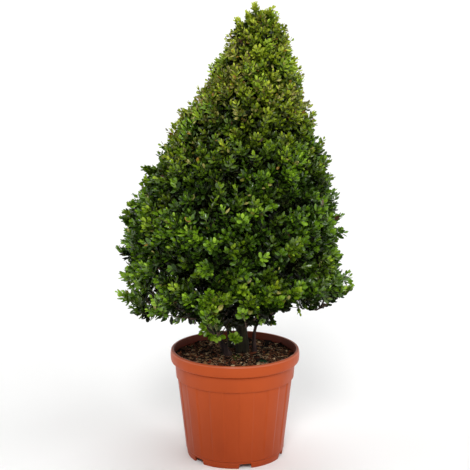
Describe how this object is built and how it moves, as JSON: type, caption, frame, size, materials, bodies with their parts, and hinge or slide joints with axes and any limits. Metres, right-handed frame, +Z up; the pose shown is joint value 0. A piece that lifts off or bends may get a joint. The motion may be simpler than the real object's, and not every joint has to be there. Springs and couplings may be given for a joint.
{
  "type": "potted boxwood cone topiary",
  "caption": "Boxwood bush clipped to a leafy cone on a short trunk, growing in a round terracotta-coloured plastic nursery pot filled with dark potting mix.",
  "frame": {"origin": "centre of the pot's underside, on the surface it stands on", "axes": "+Z up along the plant's height, -Y towards the viewer in the picture, +X to the viewer's right"},
  "size_m": [0.5028, 0.505, 0.9739],
  "materials": {
    "pot": "satin moulded plastic, terracotta orange",
    "soil": "rough moist potting mix, dark brown",
    "bark": "rough finely ridged bark, grey-brown",
    "foliage": "small glossy leaves, mid green with lighter tips"
  },
  "bodies": {
    "root": {"pot": "pot", "soil": "soil", "trunk": "bark", "stem_left": "bark", "stem_right": "bark", "stem_back": "bark", "foliage_skirt_right": "foliage", "foliage_skirt_back_right": "foliage", "foliage_skirt_back_left": "foliage", "foliage_skirt_left": "foliage", "foliage_skirt_front_left": "foliage", "foliage_skirt_front_right": "foliage", "foliage_lower_back_right": "foliage", "foliage_lower_back": "foliage", "foliage_lower_left": "foliage", "foliage_lower_front": "foliage", "foliage_lower_front_right": "foliage", "foliage_middle_back_right": "foliage", "foliage_middle_back_left": "foliage", "foliage_middle_front_left": "foliage", "foliage_middle_front_right": "foliage", "foliage_upper_back_right": "foliage", "foliage_upper_back_left": "foliage", "foliage_upper_front": "foliage", "foliage_tip": "foliage", "foliage_low_left": "foliage", "foliage_low_front": "foliage"}
  },
  "joints": []
}
